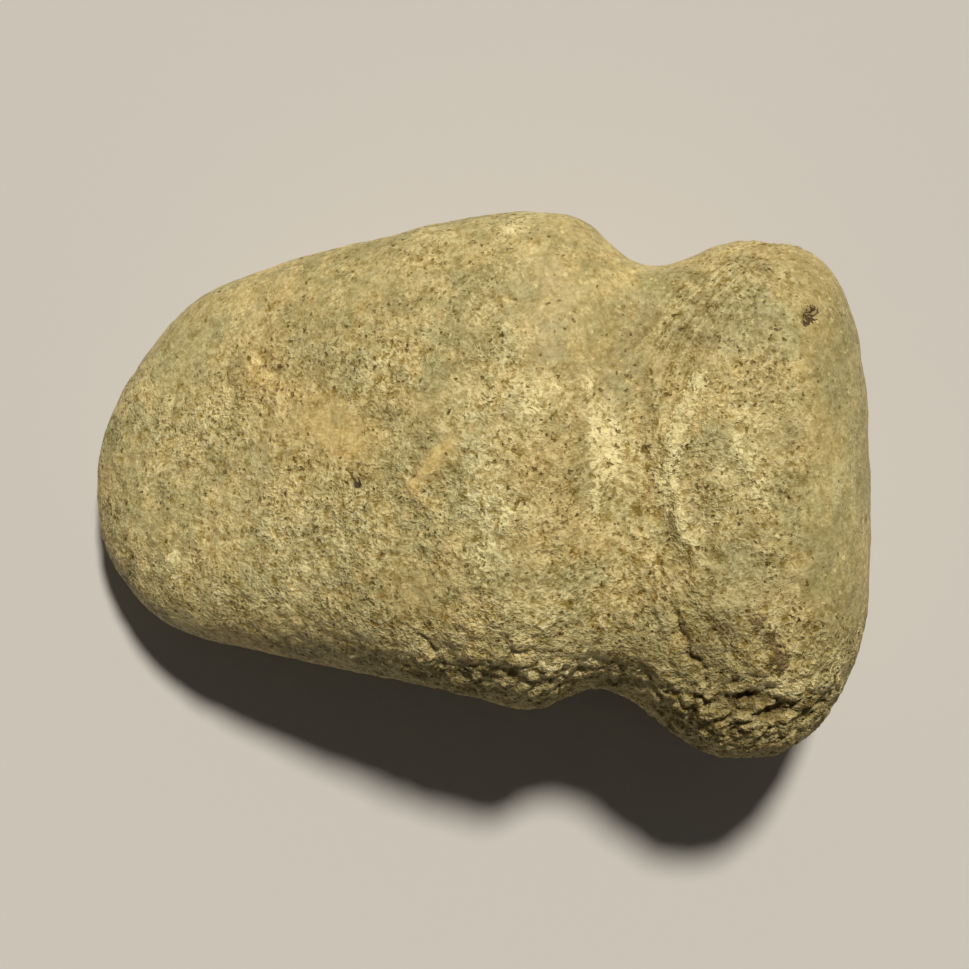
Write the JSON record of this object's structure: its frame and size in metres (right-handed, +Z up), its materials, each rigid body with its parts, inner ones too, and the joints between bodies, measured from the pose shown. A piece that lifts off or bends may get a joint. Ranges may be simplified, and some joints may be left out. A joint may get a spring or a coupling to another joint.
{
  "type": "grooved stone axe head",
  "caption": "Ground stone axe head lying on its side, with a rounded bit, a thick body, a hafting groove all the way round and a blunt poll.",
  "frame": {"origin": "middle of the box, at the level of the two flat spots that the head lies on", "axes": "+X along the head from the bit to the poll, +Y across it to the edge with the deeper notch, +Z up"},
  "size_m": [0.14, 0.0968, 0.0516],
  "materials": {
    "stone": "pecked and ground olive-tan stone, fine dark and pale grains, satin to matt"
  },
  "bodies": {
    "root": {"axe_head": "stone"}
  },
  "joints": []
}
